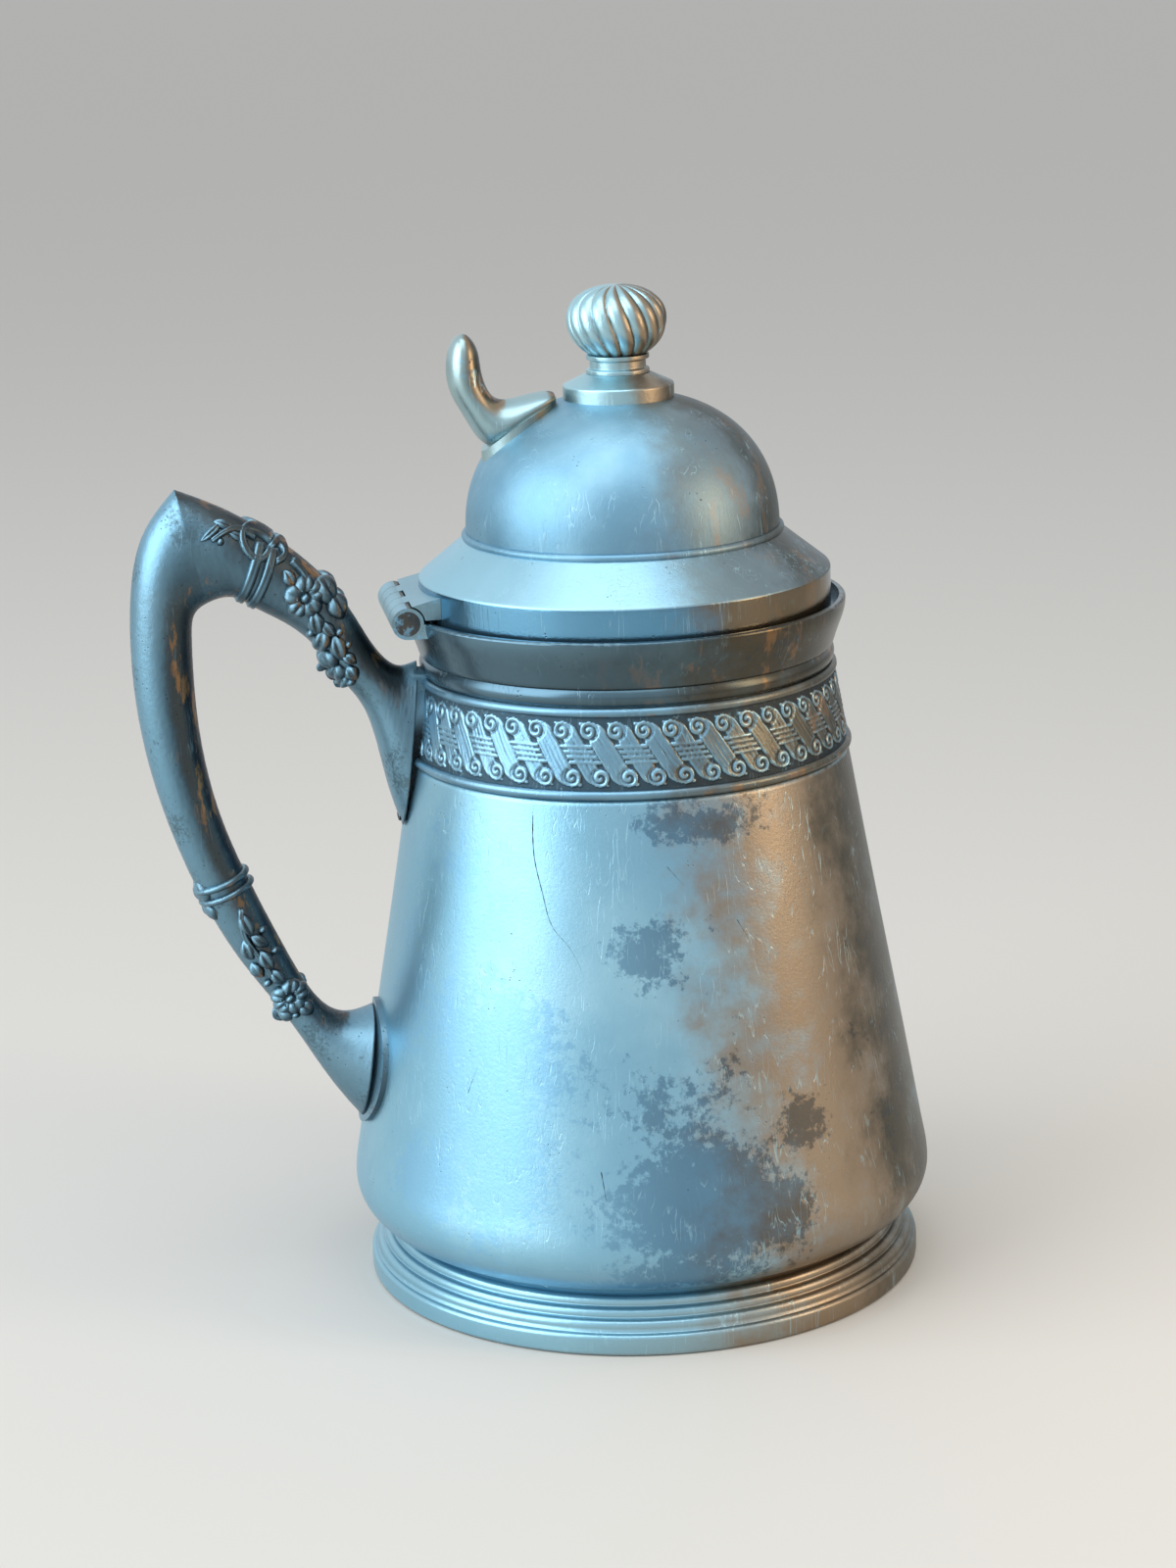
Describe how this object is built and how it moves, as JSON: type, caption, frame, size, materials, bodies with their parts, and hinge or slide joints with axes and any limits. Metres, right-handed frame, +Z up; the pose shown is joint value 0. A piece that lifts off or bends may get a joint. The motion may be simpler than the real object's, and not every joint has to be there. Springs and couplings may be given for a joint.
{
  "type": "syrup pitcher",
  "caption": "Tapered metal syrup pitcher with a reeded foot, ribbon frieze, cast loop handle and domed hinged lid with thumb lift and gadrooned knob.",
  "frame": {"origin": "centre of the foot's underside, on the surface that the pitcher stands on", "axes": "+Z up, -X towards the handle and hinge, +X towards the pouring side, Y along the hinge"},
  "size_m": [0.1384, 0.104, 0.1764],
  "materials": {
    "body_plate": "worn silver plate, satin, blue-grey with warm brown tarnish and fine scratches",
    "base_plate": "dull tarnished plate",
    "foot_plate": "worn silver plate with dark grime in the grooves",
    "frieze_relief": "rolled relief in silver plate, dark in the hollows and bright on the ribbons",
    "rim_polish": "brighter rubbed silver plate",
    "cast_handle": "cast handle, satin silver plate rubbed to brown on the grip",
    "dark_solder": "black, grimy soft solder",
    "hinge_metal": "worn nickel-coloured hinge leaves",
    "hinge_pin_metal": "dark hinge pin",
    "lid_plate": "finely pitted satin silver plate",
    "cast_lift": "cast thumb lift, rubbed brown on the inner side",
    "finial_cast": "cast knob, bright crests and dark grooves",
    "stud_metal": "dull yellow metal"
  },
  "bodies": {
    "pitcher": {"body_shell": "body_plate", "base_disc": "base_plate", "foot_ring": "foot_plate", "frieze_band": "frieze_relief", "frieze_lower_wire": "rim_polish", "frieze_upper_wire": "rim_polish", "rim_collar": "rim_polish", "handle": "cast_handle", "handle_upper_seat": "dark_solder", "handle_lower_plate": "body_plate", "hinge_body_leaf": "hinge_metal", "hinge_pin": "hinge_pin_metal"},
    "lid": {"hinge_lid_leaf": "hinge_metal", "lid_skirt": "lid_plate", "lid_bead": "rim_polish", "lid_dome": "lid_plate", "thumb_lift": "cast_lift", "thumb_lift_plate": "cast_lift", "finial_plate": "lid_plate", "finial_neck": "finial_cast", "finial_knob": "finial_cast", "finial_stud": "stud_metal", "finial_washer": "stud_metal", "finial_nut": "stud_metal"}
  },
  "joints": [
    {"name": "lid_hinge", "type": "hinge", "parent": "pitcher", "child": "lid", "pos_m": [-0.03951, 0, 0.12207], "axis": [0, -1, 0], "range_deg": [0, 68]}
  ]
}
